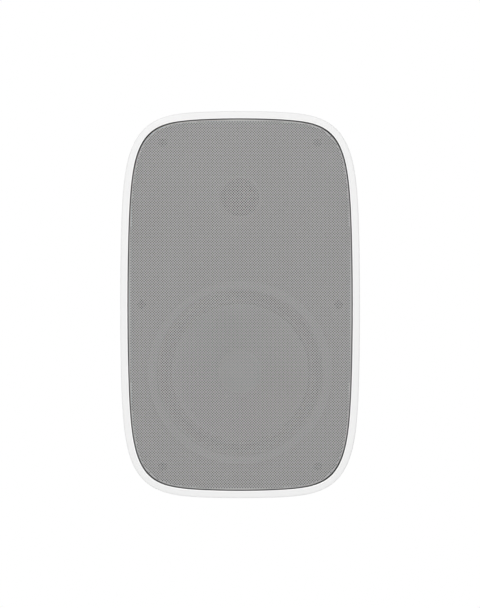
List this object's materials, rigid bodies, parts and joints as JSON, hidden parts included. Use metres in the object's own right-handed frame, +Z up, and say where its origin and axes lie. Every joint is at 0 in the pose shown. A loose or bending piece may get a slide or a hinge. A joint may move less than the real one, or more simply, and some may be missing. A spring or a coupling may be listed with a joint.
{
  "type": "wall speaker",
  "caption": "Two-way wall speaker with a rounded white cabinet, a perforated front grille, a woofer and a dome tweeter, on a bracket that pans and tilts.",
  "frame": {"origin": "centre of the wall plate's back face, where it meets the wall", "axes": "+Z up, the front faces -Y, +X to the right as seen from the front"},
  "size_m": [0.1926, 0.205, 0.311],
  "materials": {
    "moulded_white": "satin",
    "black_foam": "matte",
    "grey_plastic": "matte",
    "black_steel": "satin",
    "grille_grey": "satin",
    "basket_grey": "satin",
    "black_rubber": "matte",
    "cone_grey": "satin",
    "dust_cap_grey": "satin",
    "coil_former": "matte",
    "copper": "satin",
    "spider_cloth": "matte",
    "zinc_steel": "satin",
    "ferrite": "matte",
    "brass": "satin",
    "dome_cloth": "satin",
    "circuit_board": "satin",
    "capacitor_film": "satin",
    "resistor_cement": "matte",
    "red_plastic": "satin",
    "black_plastic": "satin",
    "lead_insulation": "satin",
    "wadding": "matte",
    "painted_steel": "satin"
  },
  "bodies": {
    "bracket_base": {"wall_plate": "painted_steel", "pan_bolt": "zinc_steel", "pan_nut": "zinc_steel", "pan_washers": "zinc_steel"},
    "knuckle": {"pan_knuckle": "painted_steel"},
    "speaker": {"cabinet": "moulded_white", "cabinet_gasket": "black_foam", "baffle": "grey_plastic", "baffle_screws": "black_steel", "woofer_basket": "basket_grey", "woofer_trim_ring": "basket_grey", "woofer_surround": "black_rubber", "woofer_spider": "spider_cloth", "woofer_top_plate": "zinc_steel", "woofer_magnet": "ferrite", "woofer_pole_plate": "zinc_steel", "woofer_terminals": "brass", "woofer_screws": "basket_grey", "tweeter_mount_ring": "grey_plastic", "tweeter_surround": "dome_cloth", "tweeter_top_plate": "zinc_steel", "tweeter_magnet": "ferrite", "tweeter_pole_plate": "zinc_steel", "tweeter_terminals": "brass", "tweeter_screws": "black_steel", "crossover_board": "circuit_board", "board_screws": "zinc_steel", "woofer_inductor": "copper", "tweeter_inductor": "copper", "capacitors": "capacitor_film", "resistor": "resistor_cement", "terminal_cup": "black_plastic", "terminal_gasket": "black_foam", "terminal_posts": "brass", "terminal_nuts": "brass", "terminal_screws": "black_steel", "input_leads": "lead_insulation", "woofer_leads": "lead_insulation", "tweeter_leads": "lead_insulation", "wadding": "wadding", "speaker_plate": "painted_steel", "tilt_bolt": "zinc_steel", "tilt_nut": "zinc_steel", "tilt_washers": "zinc_steel", "speaker_plate_screws": "zinc_steel", "threaded_inserts": "brass"},
    "woofer_cone_assembly": {"woofer_cone": "cone_grey", "woofer_dust_cap": "dust_cap_grey", "voice_coil_former": "coil_former", "voice_coil_winding": "copper"},
    "tweeter_dome_assembly": {"tweeter_dome": "dome_cloth", "tweeter_coil": "copper"},
    "grille_panel": {"grille": "grille_grey"},
    "red_cap": {"terminal_cap_red": "red_plastic"},
    "black_cap": {"terminal_cap_black": "black_plastic"}
  },
  "joints": [
    {"name": "pan_hinge", "type": "hinge", "parent": "bracket_base", "child": "knuckle", "pos_m": [0, -0.022, 0], "axis": [0, 0, 1], "range_deg": [-25, 25]},
    {"name": "tilt_hinge", "type": "hinge", "parent": "knuckle", "child": "speaker", "pos_m": [0, -0.042, 0], "axis": [1, 0, 0], "range_deg": [-15, 15]},
    {"name": "cone_slide", "type": "slide", "parent": "speaker", "child": "woofer_cone_assembly", "axis": [0, -1, 0], "range_m": [-0.005, 0.005], "stiffness_N_per_m": 1200, "deforming": ["woofer_surround", "woofer_spider"]},
    {"name": "dome_slide", "type": "slide", "parent": "speaker", "child": "tweeter_dome_assembly", "axis": [0, -1, 0], "range_m": [-0.0003, 0.0003], "stiffness_N_per_m": 2000, "deforming": ["tweeter_surround"]},
    {"name": "grille_pull", "type": "slide", "parent": "speaker", "child": "grille_panel", "axis": [0, -1, 0], "range_m": [0, 0.03]},
    {"name": "red_cap_turn", "type": "hinge", "parent": "speaker", "child": "red_cap", "pos_m": [-0.0095, -0.06, -0.07], "axis": [0, 1, 0], "continuous": true},
    {"name": "black_cap_turn", "type": "hinge", "parent": "speaker", "child": "black_cap", "pos_m": [0.0095, -0.06, -0.07], "axis": [0, 1, 0], "continuous": true}
  ]
}
